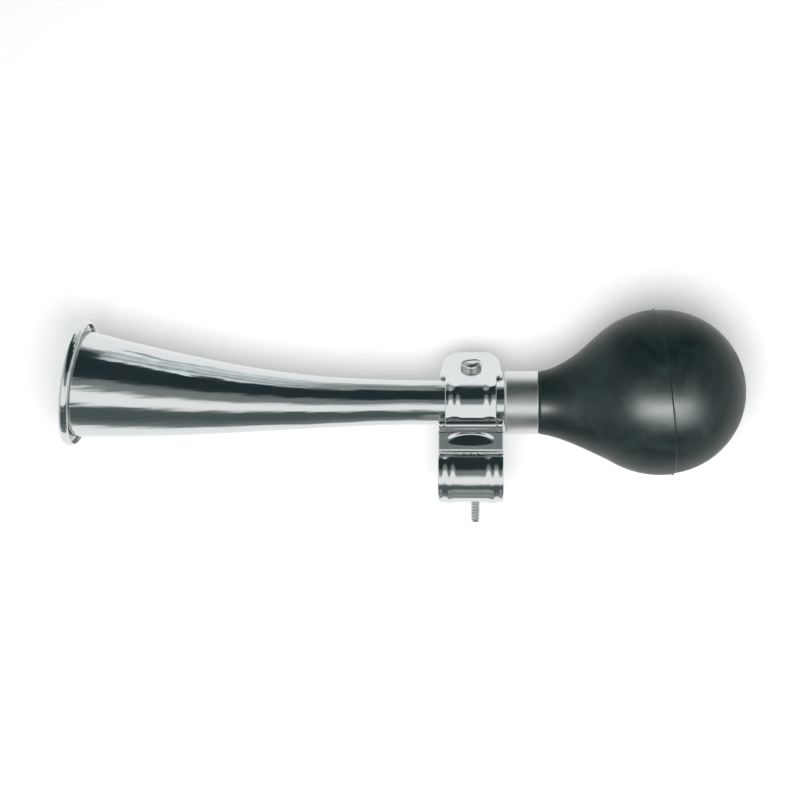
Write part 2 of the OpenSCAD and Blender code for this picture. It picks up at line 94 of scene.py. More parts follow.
def add(tree, kind, inputs=None, **settings):
    """Adds a shader node. An input takes a value, a socket, or a node, whose first live output it then uses."""
    node = tree.nodes.new("ShaderNode" + kind)
    for name, value in settings.items():
        setattr(node, name, value)
    for name, value in (inputs or {}).items():
        if isinstance(value, bpy.types.Node):
            value = next(socket for socket in value.outputs if socket.enabled)
        if isinstance(value, bpy.types.NodeSocket):
            tree.links.new(value, node.inputs[name])
        else:
            node.inputs[name].default_value = value
    return node


def make_material(name, build, *settings):
    """A node material, whose surface is built by a function that takes the tree and where patterns are measured."""
    material = bpy.data.materials.new(name)
    material.use_nodes = True
    tree = material.node_tree
    tree.nodes.clear()
    place = add(tree, "TexCoord").outputs["Object"]
    add(tree, "OutputMaterial", {"Surface": build(tree, place, *settings)})
    return material


def limits(low, high, to_low=0.0, to_high=1.0):
    """What a map range node maps from and to."""
    return {"From Min": low, "From Max": high, "To Min": to_low, "To Max": to_high}


def per_metre(size_mm):
    """The scale of a noise whose features are about this many millimetres across."""
    return 1 / (size_mm * MM)


# Settings

def length(name, description, size_mm):
    """A setting that is a length, with its default in millimetres."""
    return FloatProperty(name=name, description=description, default=size_mm * MM, unit="LENGTH", subtype="DISTANCE")


def angle(name, description, degrees):
    """A setting that is an angle, with its default in degrees."""
    return FloatProperty(name=name, description=description, default=math.radians(degrees), unit="ROTATION",
                         subtype="ANGLE")


def colour(name, description, hex_code):
    """A setting that is a colour, with its default in sRGB hex."""
    return FloatVectorProperty(name=name, description=description, default=linear(hex_code), subtype="COLOR",
                               size=3, min=0, max=1)


class HornShape(bpy.types.PropertyGroup):
    stem_diameter: length("Stem", "Outside diameter of the straight stem", 18.5)
    wall: length("Wall", "Thickness of the horn's sheet brass", 0.6)
    flare_start: length("Flare start", "Distance from the clamp's middle to the flare", 14.7)
    bend_start: length("Bend start", "Distance from the clamp's middle to the bend", 48)
    bend_radius: length("Bend radius", "Radius of the bell's upward bend", 855)
    bell_length: length("Bell length", "Length of flare and bell along the axis", 154)
    flare_length: length("Flare length", "Length over which the flare opens", 86)
    mouth_diameter: length("Mouth", "Outside diameter of the bell at its mouth", 46)
    rim_diameter: length("Rim", "Outside diameter of the rolled rim", 53.4)
    roll_radius: length("Roll", "Radius of the rim's roll", 1.7)
    stem_end: length("Stem end", "Distance from the clamp's middle to the stem's end", 25)
    sides: IntProperty(name="Sides", description="Facets round the bell", default=144, min=24, max=256)


class BulbShape(bpy.types.PropertyGroup):
    radius: length("Radius", "Radius of the bulb's round end", 34.6)
    centre: length("Centre", "Distance from the clamp's middle to the round end's centre", 79.8)
    front_length: length("Front", "Half length of the bulb's front half", 37.8)
    wall: length("Wall", "Thickness of the rubber", 3)
    neck_radius: length("Neck", "Radius of the neck inside the ferrule", 12.5)
    seam_back: length("Seam", "Distance of the moulded seam behind the centre", 1)
    seam_step: length("Seam step", "How much smaller the rear half is at the seam", 0.35)
    bend: angle("Bend", "Angle by which the neck bends up", 6.6)


class ClampShape(bpy.types.PropertyGroup):
    bar_radius: length("Bar", "Radius of the handlebar", BAR_RADIUS)
    strap: length("Strap", "Thickness of the strap steel", 0.9)
    loop_width: length("Loop width", "Width of the straps round the handlebar", 27.2)
    cradle_width: length("Cradle width", "Width of the back strap behind the horn", 26.2)
    cap_width: length("Cap width", "Width of the hinged cap", 21.4)
    cap_ear_width: length("Ear width", "Width of the cap's flat ear", 24.6)
    ear_slope: angle("Ear slope", "Slope of the upper ears", 28)
    bead_height: length("Beads", "How far the pressed beads stand proud", 0.5)
    dish_depth: length("Dish", "Depth of the hollow in the waist", 0.34)
    thread_pitch: length("Thread pitch", "Pitch of both screws", 1.3)


class HornFinish(bpy.types.PropertyGroup):
    chrome: colour("Chrome", "Colour of the chrome plate", "#e2e5e5")
    strap_chrome: colour("Strap chrome", "Colour of the clamp's chrome plate", "#e4e7e7")
    nickel: colour("Nickel", "Colour of the ferrule's satin nickel", "#f2f3f0")
    zinc: colour("Zinc", "Colour of the fasteners' zinc plate", "#e4e6e6")
    rubber: colour("Rubber", "Colour of the black rubber", "#0f1f1f")
    brass: colour("Brass", "Colour of the reed's brass", "#d2b26a")


class StageSettings(bpy.types.PropertyGroup):
    camera_distance: length("Camera distance", "Distance of the camera from the horn", 773)
    camera_turn: angle("Camera turn", "Turn of the camera towards the bulb", 2.8)
    lens: FloatProperty(name="Lens", description="Focal length of the camera, in millimetres", default=82.8)
    key_power: FloatProperty(name="Key light", description="Strength of the low soft light, in watts", default=3.9)
    strip_power: FloatProperty(name="Strip light", description="Strength of the strip light, in watts", default=19.0)
    backdrop: length("Backdrop", "Distance of the backdrop behind the horn", 40)


# Meshes

def piece(name, points, faces, material, slot, body=None):
    """A smooth shaded piece from points in millimetres, riding on a body if one is given."""
    mesh = bpy.data.meshes.new(name)
    mesh.from_pydata([Vector(p) * MM for p in points], [], faces)
    made = bmesh.new()
    made.from_mesh(mesh)
    bmesh.ops.remove_doubles(made, verts=made.verts, dist=0.002 * MM)
    bmesh.ops.dissolve_degenerate(made, edges=made.edges, dist=0.001 * MM)
    bmesh.ops.recalc_face_normals(made, faces=made.faces)
    made.to_mesh(mesh)
    made.free()
    for polygon in mesh.polygons:
        polygon.use_smooth = True
    mesh.set_sharp_from_angle(angle=SHARP)
    made = bpy.data.objects.new(name, mesh)
    bpy.context.scene.collection.objects.link(made)
    mesh.materials.append(material)
    if body:
        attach(made, body)
    return made


def headings(path):
    """Direction of a flat path at each of its points, in radians."""
    return [math.atan2(b[1] - a[1], b[0] - a[0]) for a, b in zip(path[:1] + path[:-1], path[1:] + path[-1:])]


def distances(path):
    """How far along a path each of its points lies."""
    return list(accumulate(map(math.dist, path, path[1:]), initial=0.0))


def arc(centre, radius, start, end, step=0.4):
    """Points of an arc from one angle to another, about a step apart."""
    count = max(3, math.ceil(abs(end - start) * radius / step))
    turns = [start + (end - start) * k / count for k in range(count + 1)]
    return [(centre[0] + radius * math.cos(a), centre[1] + radius * math.sin(a)) for a in turns]


def walk(start, heading, moves, step):
    """Points of a run of arcs (radius, turn in radians) and straights (0, length) laid end to end."""
    points = [tuple(start)]
    for radius, amount in moves:
        x, y = points[-1]
        count = max(2, math.ceil(abs(radius * amount if radius else amount) / step))
        side = heading + math.copysign(math.pi / 2, amount)
        for k in range(1, count + 1):
            if radius:
                back = side + math.pi + amount * k / count
                points.append((x + radius * (math.cos(side) + math.cos(back)),
                               y + radius * (math.sin(side) + math.sin(back))))
            else:
                points.append((x + amount * math.cos(heading) * k / count,
                               y + amount * math.sin(heading) * k / count))
        if radius:
            heading += amount
    return points


def rounded(path, passes):
    """The path with its corners eased, its ends kept."""
    for _ in range(passes):
        eased = [tuple((a[k] + 2 * b[k] + c[k]) / 4 for k in (0, 1)) for a, b, c in zip(path, path[1:], path[2:])]
        path = [path[0], *eased, path[-1]]
    return path


def evenly(path, step):
    """The path drawn again with points about a step apart."""
    lengths = distances(path)
    count = max(2, round(lengths[-1] / step))
    points, i = [], 0
    for k in range(count + 1):
        at = lengths[-1] * k / count
        while i < len(path) - 2 and lengths[i + 1] < at:
            i += 1
        span = lengths[i + 1] - lengths[i]
        t = (at - lengths[i]) / span if span else 0
        points.append(tuple(path[i][n] + (path[i + 1][n] - path[i][n]) * t for n in (0, 1)))
    return points


def bent(s, straight, radius, most):
    """Place and heading on an axis that runs straight along X, then bends up, then runs straight."""
    if s <= straight:
        return (s, 0.0), 0.0
    turn = min(s - straight, radius * most)
    a = turn / radius
    rest = s - straight - turn
    return (straight + radius * math.sin(a) + rest * math.cos(a),
            radius * (1 - math.cos(a)) + rest * math.sin(a)), a


def ring_faces(rings, sides, closed):
    """Faces between rings of points, and from the last ring to the first if the outline is closed."""
    return [(i * sides + j, i * sides + (j + 1) % sides,
             (i + 1) % rings * sides + (j + 1) % sides, (i + 1) % rings * sides + j)
            for i in range(rings if closed else rings - 1) for j in range(sides)]


def turned(outline, sides, place):
    """Points and faces of a closed outline of (along, radius) turned round an axis."""
    points = [place(s, r, 2 * math.pi * j / sides) for s, r in outline for j in range(sides)]
    return points, ring_faces(len(outline), sides, True)


def sheet_outline(path, thickness):
    """The closed outline of a sheet along a middle line, with round edges."""
    turns, half, last = headings(path), thickness / 2, len(path) - 1

    def off(i, turn):
        return path[i][0] + half * math.cos(turn), path[i][1] + half * math.sin(turn)

    left = [off(i, turns[i] + math.pi / 2) for i in range(last + 1)]
    right = [off(i, turns[i] - math.pi / 2) for i in range(last, -1, -1)]
    nose, tail = ([off(i, turn + a) for a in (0.9, 0.3, -0.3, -0.9)]
                  for i, turn in ((last, turns[-1]), (0, turns[0] + math.pi)))
    return left + nose + right + tail


def strap_sheet(path, half_width, thickness, relief, middle=0.0, columns=60):
    """A pressed strap: a flat path in Y and Z, given width along X, with a rounded edge all round.

    half_width gives half the strap's width at a length along the path, and relief how far the sheet
    is pressed out to the left of the path at that length and X. Its middle lies at X = middle."""
    turns, lengths, half = headings(path), distances(path), thickness / 2
    # Three rows round off each end, at these shares of half the thickness from it.
    ends = (0.0, 0.12, 0.4)
    rows = [(0, e, -1) for e in ends] + [(i, 1.0, 0) for i in range(len(path))]
    rows += [(len(path) - 1, e, 1) for e in ends[::-1]]
    width = columns + 1
    points = []
    for side in (1, -1):
        for i, edge, way in rows:
            (y, z), turn = path[i], turns[i]
            span = half_width(lengths[i])
            reach = math.sqrt(1 - (1 - edge) ** 2)
            push = half * (1 - edge) * way
            for k in range(width):
                u = -1 + 2 * k / columns
                # Columns crowd towards the edges, where the sheet rounds off.
                x = middle + span * math.copysign(1 - (1 - abs(u)) ** 1.35, u)
                near = max(0.0, min(1.0, (span - abs(x - middle)) / half))
                lift = relief(lengths[i], x) + side * half * reach * math.sqrt(1 - (1 - near) ** 2)
                points.append((x, y + push * math.cos(turn) - lift * math.sin(turn),
                               z + push * math.sin(turn) + lift * math.cos(turn)))
    faces = [(a, a + 1, a + width + 1, a + width) for layer in (0, len(rows)) for row in range(len(rows) - 1)
             for a in range((layer + row) * width, (layer + row) * width + columns)]
    return points, faces


def smooth_step(value, low, high):
    """Runs smoothly from 0 at the low value to 1 at the high one."""
    t = max(0.0, min(1.0, (value - low) / (high - low)))
    return t * t * (3 - 2 * t)


def bead(x, centre, half, height):
    """The cross-section of a pressed bead."""
    t = abs(x - centre) / half
    return height * (1 + math.cos(math.pi * t)) / 2 if t < 1 else 0.0


def ear_end(width, across, along, from_end):
    """Half width of a strap near its end, whose two round corners take in this much across and along."""
    t = max(0.0, 1 - from_end / along)
    return width / 2 - across + across * math.sqrt(max(0.0, 1 - t * t))


# Finishes

def bright_chrome(tree, place, tone, wave_mm, wave, polish):
    """Chrome plate on hand-worked sheet: a mirror whose reflections waver, with hairlines and a faint haze."""
    # The sheet was rolled and spun by hand, so its surface swells by hundredths of a millimetre.
    swell = add(tree, "TexNoise", {"Vector": place, "Scale": per_metre(wave_mm), "Detail": 1.5, "Roughness": 0.4})
    along = add(tree, "Mapping", {"Vector": place, "Scale": (0.12, 1.0, 1.0)})
    draw = add(tree, "TexNoise", {"Vector": along, "Scale": per_metre(5), "Detail": 2.5})
    wavy = add(tree, "Bump", {"Height": swell, "Distance": wave * MM})
    drawn = add(tree, "Bump", {"Height": draw, "Distance": wave * MM * 0.4, "Normal": wavy})
    # Hairlines from wiping, about 0.3 mm apart, are drawn 1.1 mm apart so that they show.
    hair = add(tree, "TexNoise", {"Vector": place, "Scale": per_metre(1.1), "Detail": 6.0, "Roughness": 0.7,
                                  "Distortion": 1.5})
    haze = add(tree, "TexNoise", {"Vector": place, "Scale": per_metre(18), "Detail": 4.0})
    worn = add(tree, "Math", {0: hair, 1: haze}, operation="MULTIPLY")
    rough = add(tree, "MapRange", {"Value": worn, **limits(0.12, 0.45, polish, polish + 0.10)})
    tint = add(tree, "Mix", {"Factor": haze, "A": shade(tone, 0.94), "B": shade(tone)}, data_type="RGBA")
    return add(tree, "BsdfPrincipled", {"Base Color": tint, "Metallic": 1.0, "Roughness": rough, "Normal": drawn})


def satin_nickel(tree, place, tone):
    """Nickel plate over turned brass, left satin: fine rings round it and a soft spread of light."""
    along = add(tree, "Mapping", {"Vector": place, "Scale": (1.0, 0.03, 0.03)})
    # Turning marks are about 0.05 mm apart; they are drawn at 0.25 mm so that they show.
    rings = add(tree, "TexNoise", {"Vector": along, "Scale": per_metre(0.25), "Detail": 3.0, "Roughness": 0.6})
    cloud = add(tree, "TexNoise", {"Vector": place, "Scale": per_metre(6), "Detail": 3.0})
    rough = add(tree, "MapRange", {"Value": cloud, **limits(0.3, 0.7, 0.36, 0.44)})
    bump = add(tree, "Bump", {"Height": rings, "Strength": 0.5, "Distance": 0.006 * MM})
    tint = add(tree, "Mix", {"Factor": cloud, "A": shade(tone, 0.9), "B": shade(tone)}, data_type="RGBA")
    return add(tree, "BsdfPrincipled", {"Base Color": tint, "Metallic": 1.0, "Roughness": rough, "Normal": bump})


def zinc_plate(tree, place, tone):
    """Bright zinc plate on turned steel, dulled by handling: grey, a little blotchy, darker in patches."""
    grain = add(tree, "TexNoise", {"Vector": place, "Scale": per_metre(0.4), "Detail": 4.0})
    patch = add(tree, "TexNoise", {"Vector": place, "Scale": per_metre(2.5), "Detail": 3.0})
    dull = add(tree, "MapRange", {"Value": patch, **limits(0.3, 0.6)})
    tint = add(tree, "Mix", {"Factor": dull, "A": shade(tone, 0.8), "B": shade(tone)}, data_type="RGBA")
    rough = add(tree, "MapRange", {"Value": patch, **limits(0.3, 0.7, 0.36, 0.22)})
    bump = add(tree, "Bump", {"Height": grain, "Strength": 0.4, "Distance": 0.02 * MM})
    return add(tree, "BsdfPrincipled", {"Base Color": tint, "Metallic": 1.0, "Roughness": rough, "Normal": bump})


def turned_brass(tree, place, tone):
    """Plain turned brass, a little tarnished: warm, with fine rings."""
    tarnish = add(tree, "TexNoise", {"Vector": place, "Scale": per_metre(4), "Detail": 4.0})
    along = add(tree, "Mapping", {"Vector": place, "Scale": (1.0, 0.05, 0.05)})
    rings = add(tree, "TexNoise", {"Vector": along, "Scale": per_metre(0.3)})
    dull = add(tree, "MapRange", {"Value": tarnish, **limits(0.35, 0.65)})
    tint = add(tree, "Mix", {"Factor": dull, "A": shade(tone, 0.55), "B": shade(tone)}, data_type="RGBA")
    bump = add(tree, "Bump", {"Height": rings, "Strength": 0.4, "Distance": 0.01 * MM})
    return add(tree, "BsdfPrincipled", {"Base Color": tint, "Metallic": 1.0, "Roughness": 0.3, "Normal": bump})


def moulded_rubber(tree, place, tone):
    """Black natural rubber from a steel mould: a soft broad sheen, fine grain, smudges and pale bloom."""
    grain = add(tree, "TexNoise", {"Vector": place, "Scale": per_metre(0.6), "Detail": 3.0})
    smudge = add(tree, "TexNoise", {"Vector": place, "Scale": per_metre(14), "Detail": 5.0, "Roughness": 0.6,
                                    "Distortion": 0.8})
    speck = add(tree, "TexNoise", {"Vector": place, "Scale": per_metre(1.8)})
    dusty = add(tree, "MapRange", {"Value": smudge, **limits(0.45, 0.75)})
    dust = [c * 1.8 + 0.004 for c in tone]
    bloom = add(tree, "Mix", {"Factor": dusty, "A": shade(tone), "B": shade(dust)}, data_type="RGBA")
    rough = add(tree, "MapRange", {"Value": smudge, **limits(0.35, 0.65, 0.34, 0.46)})
    low = add(tree, "Bump", {"Height": speck, "Strength": 0.5, "Distance": 0.03 * MM})
    bump = add(tree, "Bump", {"Height": grain, "Strength": 0.5, "Distance": 0.015 * MM, "Normal": low})
    return add(tree, "BsdfPrincipled", {"Base Color": bloom, "Roughness": rough, "IOR": 1.4,
                                        "Specular Tint": (0.9, 0.95, 0.94, 1), "Normal": bump})


# What makes each finish, its name, its colour's setting, and what else it takes.
FINISHES = {
    "horn": (bright_chrome, "Bright chrome on spun brass", "chrome", 26, 0.7, 0.09),
    "strap": (bright_chrome, "Chrome on pressed strap", "strap_chrome", 7, 0.1, 0.1),
    "nickel": (satin_nickel, "Satin nickel on brass", "nickel"),
    "zinc": (zinc_plate, "Dull zinc plate", "zinc"),
    "rubber": (moulded_rubber, "Moulded black rubber", "rubber"),
    "brass": (turned_brass, "Turned brass", "brass"),
}


def finish(kind):
    """A finish's material, made the first time that it is asked for."""
    build, name, setting, *rest = FINISHES[kind]
    tone = tuple(getattr(bpy.context.scene.horn_finish, setting))
    return bpy.data.materials.get(name) or make_material(name, build, tone, *rest)


def dress(node, kind, bevel=0.0):
    """Gives a CAD node its finish, and eases its edges."""
    made = frame["nodes"][node]
    made.data.materials.clear()
    made.data.materials.append(finish(kind))
    if bevel:
        edge = made.modifiers.new("Eased edges", "BEVEL")
        edge.width = bevel * MM
        edge.segments = 2
        edge.limit_method = "ANGLE"
        edge.angle_limit = math.radians(40)


# Horn and bulb

class HORN_OT_bell(bpy.types.Operator):
    """Makes the curved horn with its flared bell and open rolled rim"""
    bl_idname = "bulbhorn.bell"
    bl_label = "Horn and bell"

    def execute(self, context):
        shape = context.scene.horn_shape
        wall, roll = shape.wall / MM, shape.roll_radius / MM
        stem_mid = shape.stem_diameter / 2 / MM - wall / 2
        mouth_mid = shape.mouth_diameter / 2 / MM - wall / 2
        rim_mid = shape.rim_diameter / 2 / MM - wall / 2
        flare, bell = shape.flare_length / MM, shape.bell_length / MM
        # The flare is a parabola that runs into a cone, and a lip turns the cone out to the roll.
        gain = (mouth_mid - stem_mid) / (flare / 2 + bell - flare)
        cone = math.atan(gain)
        lip = (rim_mid - roll - mouth_mid + gain * wall / 2) / (math.cos(cone) - gain * (1 - math.sin(cone)))
        body_end = bell - wall / 2 - lip * (1 - math.sin(cone))
        # Past the lip the rim rolls back, runs straight for this far and curls in, its edge left open.
        straight, curl = 0.6, math.radians(50)

        def radius(s):
            return stem_mid + (gain * s * s / (2 * flare) if s < flare else gain * (s - flare / 2))

        start = -(shape.flare_start + shape.stem_end) / MM
        stem = [(start * (1 - k / 12), stem_mid) for k in range(12)]
        body = [(body_end * k / 90, radius(body_end * k / 90)) for k in range(91)]
        rim = walk(body[-1], cone, [(lip, math.pi / 2 - cone), (roll, math.pi / 2), (0, straight), (roll, curl)], 0.2)
        flare_start = shape.flare_start / MM
        bend_from = (shape.bend_start - shape.flare_start) / MM

        def place(s, r, a):
            (x, z), turn = bent(s, bend_from, shape.bend_radius / MM, math.pi / 2)
            up, out = r * math.cos(a), r * math.sin(a)
            return -flare_start - (x - up * math.sin(turn)), out, HORN_HEIGHT + z + up * math.cos(turn)

        points, faces = turned(sheet_outline(stem + body + rim[1:], wall), shape.sides, place)
        horn = piece("horn_and_bell", points, faces, finish("horn"), "horn_chrome", "horn")
        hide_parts("horn_bell")
        return {"FINISHED"}


class HORN_OT_ferrule(bpy.types.Operator):
    """Makes the ferrule between horn and bulb, with its rounded front and crimped rear edge"""
    bl_idname = "bulbhorn.ferrule"
    bl_label = "Ferrule"

    def execute(self, context):
        low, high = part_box("ferrule")
        front, rear, outer = low.x / MM, high.x / MM, (high.z - low.z) / 2 / MM
        wall, corner, crimp = 0.6, 1.3, 0.5
        hole = context.scene.horn_shape.stem_diameter / 2 / MM + PLAY
        path = walk((front + wall / 2, hole), math.pi / 2,
                    [(0, outer - corner - hole), (corner - wall / 2, -math.pi / 2),
                     (0, rear - front - corner - crimp), (crimp, math.radians(-50))], 0.15)
        path = [(min(s, rear - wall * 0.1), r) for s, r in path]
        points, faces = turned(sheet_outline(path, wall), 96,
                               lambda s, r, a: (s, r * math.sin(a), HORN_HEIGHT + r * math.cos(a)))
        ferrule = piece("ferrule_shell", points, faces, finish("nickel"), "satin_nickel", "horn")
        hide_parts("ferrule")
        dress("neck_gasket", "rubber")
        return {"FINISHED"}


class HORN_OT_bulb(bpy.types.Operator):
    """Makes the rubber bulb in one skin, with its moulded seam and pips"""
    bl_idname = "bulbhorn.bulb"
    bl_label = "Rubber bulb"

    def execute(self, context):
        shape = context.scene.bulb_shape
        radius, centre, front = shape.radius / MM, shape.centre / MM, shape.front_length / MM
        neck, wall = shape.neck_radius / MM, shape.wall / MM
        seam, step = (shape.centre + shape.seam_back) / MM, shape.seam_step / MM
        neck_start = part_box("bulb_front")[0].x / MM
        ferrule_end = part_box("ferrule")[1].x / MM
        groove_depth, groove_reach = 0.3, 0.28
        pip_height, pip_reach_across, pip_reach_along = 0.55, 0.7, 0.55
        # Between these two places a cubic curve joins the neck to the round end.
        swell_from, swell_to = 28.6, 56.6
        span = swell_to - swell_from
        start_r, start_slope = neck + 0.7, 0.14
        end_r = radius * math.sqrt(1 - ((centre - swell_to) / front) ** 2)
        end_slope = radius ** 2 * (centre - swell_to) / (front ** 2 * end_r)

        def outer(s):
            if s < swell_from:
                return neck + (start_r - neck) * smooth_step(s, ferrule_end, swell_from)
            if s < swell_to:
                t = (s - swell_from) / span
                return ((2 * t ** 3 - 3 * t ** 2 + 1) * start_r + (t ** 3 - 2 * t ** 2 + t) * span * start_slope
                        + (3 * t ** 2 - 2 * t ** 3) * end_r + (t ** 3 - t ** 2) * span * end_slope)
            if s < centre:
                return radius * math.sqrt(1 - ((centre - s) / front) ** 2)
            return math.sqrt(max(0.0, radius ** 2 - (s - centre) ** 2))

        def skin(s):
            rear = smooth_step(s, seam - 0.1, seam + 0.35)
            groove = groove_depth * math.exp(-((s - seam) / groove_reach) ** 2)
            return max(0.0, outer(s) * (1 - rear * step / radius) - groove)

        # The outline has its points close together near the seam.
        near, far = seam - 4, seam + 4
        along = [neck_start + (near - neck_start) * k / 80 for k in range(80)]
        along += [near + (far - near) * k / 80 for k in range(81)]
        along += [centre + radius * math.sin(math.asin((far - centre) / radius) * (1 - k / 44)
                                             + math.pi / 2 * k / 44) for k in range(1, 45)]
        inside = [(min(s, centre + radius - wall), max(0.0, outer(s) - wall)) for s in along[::3]]
        outline = [(s, skin(s)) for s in along] + inside[::-1]
        # The axis is straight to just behind the ferrule, and bends up over the next 24 mm.
        straight, bend_length = ferrule_end + 1.6, 24
        bend_radius = bend_length / shape.bend

        def place(s, r, a):
            # Pips left by the mould's vents stand at the seam, above and below.
            off = min(abs(a), abs(a - math.pi), abs(a - 2 * math.pi)) * radius
            if r > radius / 2:
                r += pip_height * math.exp(-(off / pip_reach_across) ** 2 - ((s - seam + 0.3) / pip_reach_along) ** 2)
            (x, z), turn = bent(s, straight, bend_radius, shape.bend)
            up = r * math.cos(a)
            return x - up * math.sin(turn), r * math.sin(a), HORN_HEIGHT + z + up * math.cos(turn)

        points, faces = turned(outline, 192, place)
        bulb = piece("rubber_bulb", points, faces, finish("rubber"), "rubber")
        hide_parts("bulb_front", "bulb_rear")
        # Places on the axis at the middle of the neck's swell and at the seam.
        (x0, z0), _ = bent(44, straight, bend_radius, shape.bend)
        (x1, z1), _ = bent(seam, straight, bend_radius, shape.bend)
        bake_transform(bulb)
        return {"FINISHED"}


# Clamp

def on_ear(slope, u, v):
    """Y and Z of a place u along the upper ears' slope and v out from the horn's axis."""
    return u * math.cos(slope) - v * math.sin(slope), HORN_HEIGHT + u * math.sin(slope) + v * math.cos(slope)


def clamp_sizes(scene):
    """The sizes that the straps share, in millimetres. Radii are those of a strap's middle line."""
    shape, (low, high) = scene.clamp_shape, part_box("cap_hinge_pin")
    t = shape.strap / MM
    sizes = SimpleNamespace(
        t=t, slope=shape.ear_slope, reach=22.5, ear_z=BAR_EARS + t / 2,
        bar=shape.bar_radius / MM + t / 2, saddle=scene.horn_shape.stem_diameter / 2 / MM + PLAY + t / 2,
        hinge=((low.y + high.y) / 2 / MM, (low.z + high.z) / 2 / MM), knuckle=(high.z - low.z) / 2 / MM + PLAY + t / 2,
        loop=shape.loop_width / MM, cradle=shape.cradle_width / MM, cap=shape.cap_width / MM,
        cap_ear=shape.cap_ear_width / MM, beads=shape.bead_height / MM, dish=shape.dish_depth / MM)
    # The back of the knuckles' roll, the waist a little in front of it, and its top just under the cap's knuckle.
    sizes.web = sizes.hinge[0] + sizes.knuckle
    sizes.waist = sizes.web - 0.35
    sizes.top = sizes.hinge[1] - sizes.knuckle - t / 2 - 1.2
    return sizes


def climbs_to(line, height):
    """How far along a strap it first stands this high in front."""
    return next(s for s, (y, z) in zip(distances(line), line) if z > height and y < 0)


def bar_beads(c, x):
    """The two beads round the handlebar."""
    return sum(bead(x, middle, 3.2, c.beads) for middle in (-9, 9))


def front_strap(c):
    """Runs from its ear under the bar, up the front and up the waist."""
    loop_end = math.radians(-221)
    line = [(c.reach, -c.ear_z), *arc((0, 0), c.bar, -math.asin(c.ear_z / c.bar), loop_end), (c.waist, c.top)]
    line = evenly(rounded(evenly(line, 0.4), 4), 0.4)
    ear, waist, crease = c.reach - c.bar, climbs_to(line, 8), climbs_to(line, 8.2)
    # The hollow in the waist is an ellipse round this place, deeper towards its top.
    lens, lens_half, lens_high = distances(line)[-1] - 3.15, 10.6, 3.4
    # The crease below it is crimped in dots this far apart.
    dots = 1.5

    def relief(s, x):
        on = smooth_step(s, ear + 3, ear + 7) * (1 - smooth_step(s, waist - 1.5, waist + 0.5))
        rise = (s - lens) / lens_high
        hollow = max(0.0, 1 - (x / lens_half) ** 2 - rise ** 2)
        crimp = bead(s, crease, 1.7, 0.75) * (1 + 0.45 * math.cos(2 * math.pi * x / dots))
        return bar_beads(c, x) * on - crimp - c.dish * (1 + 1.7 * rise) * smooth_step(hollow, 0, 0.6)

    return strap_sheet(line, lambda s: ear_end(c.loop, 3, 3, s), c.t, relief)


def knuckle_leaf(c, side):
    """Rolls the top of the waist forward over one end of the hinge pin."""
    line = [(c.waist, c.top - 1), (c.waist, c.top), (c.web, c.top + 1.2), (c.web, c.hinge[1] - 0.2),
            *arc(c.hinge, c.knuckle, 0, math.radians(300), 0.2)]
    gap, half = 0.4, 1.1
    return strap_sheet(evenly(line, 0.25), lambda s: half, c.t, lambda s, x: 0.0,
                       middle=side * (c.cap / 2 + gap + half), columns=8)


def back_strap(c):
    """Runs from its ear over the bar, up the waist, round the horn and out as the inner upper ear."""
    low, high = c.waist + c.t - 0.3, c.waist + c.t + 0.1
    line = [(c.reach, c.ear_z), *arc((0, 0), c.bar, math.asin(c.ear_z / c.bar), math.acos(low / c.bar)),
            (low, 9.4), (high, c.top - 0.8)]
    # It leaves the horn this far past the ears' slope, and folds back to lie along them.
    past, ear_reach = math.radians(25), 20
    line += arc((0, HORN_HEIGHT), c.saddle, math.pi + math.acos(-high / c.saddle), 2 * math.pi + c.slope + past)
    ear_v = c.saddle - c.t - CAP_EARS
    rise = (ear_v - c.saddle * math.sin(past)) / math.cos(past)
    fold_u = c.saddle * math.cos(past) - rise * math.sin(past)
    line += [on_ear(c.slope, u, ear_v) for u in (fold_u, ear_reach - c.t / 2)]
    line = evenly(rounded(evenly(line, 0.3), 6), 0.5)
    total, ear, narrow = distances(line)[-1], c.reach - c.bar, climbs_to(line, c.top - 0.8)
    over = next(s for s, (y, z) in zip(distances(line), line) if y < 0)

    def half_width(s):
        full = c.loop + (c.cradle - c.loop) * smooth_step(s, narrow - 0.5, narrow + 1)
        return min(ear_end(full, 3, 3, s), ear_end(full, 6.3, 8, total - s))

    def relief(s, x):
        return -bar_beads(c, x) * smooth_step(s, ear + 2, ear + 6) * (1 - smooth_step(s, over + 1, over + 4))

    return strap_sheet(line, half_width, c.t, relief)


def hinged_cap(c):
    """Runs from its flat ear down over the front of the horn, and rolls round the hinge pin."""
    ear = 26.8
    to_hinge = (c.hinge[0], c.hinge[1] - HORN_HEIGHT)
    # Where the curve round the horn ends and the roll round the pin begins.
    link = (2 * math.pi + math.atan2(to_hinge[1], to_hinge[0])
            - math.acos((c.saddle + c.knuckle) / math.hypot(*to_hinge)))
    line = [on_ear(c.slope, ear, c.saddle), *arc((0, HORN_HEIGHT), c.saddle, math.pi / 2 + c.slope, link),
            *arc(c.hinge, c.knuckle, link - math.pi, link - math.pi - math.radians(290), 0.2)]
    line = evenly(line, 0.4)
    total = distances(line)[-1]

    def half_width(s):
        full = c.cap_ear + (c.cap - c.cap_ear) * smooth_step(s, ear - 5.2, ear - 3.4)
        return ear_end(full, 6.3, 12.5, s)

    def relief(s, x):
        on = smooth_step(s, ear + 1, ear + 4.5) * (1 - smooth_step(s, total - 12, total - 10))
        return -sum(bead(x, middle, 3, c.beads) for middle in (-6.8, 7.9)) * on

    return strap_sheet(line, half_width, c.t, relief)


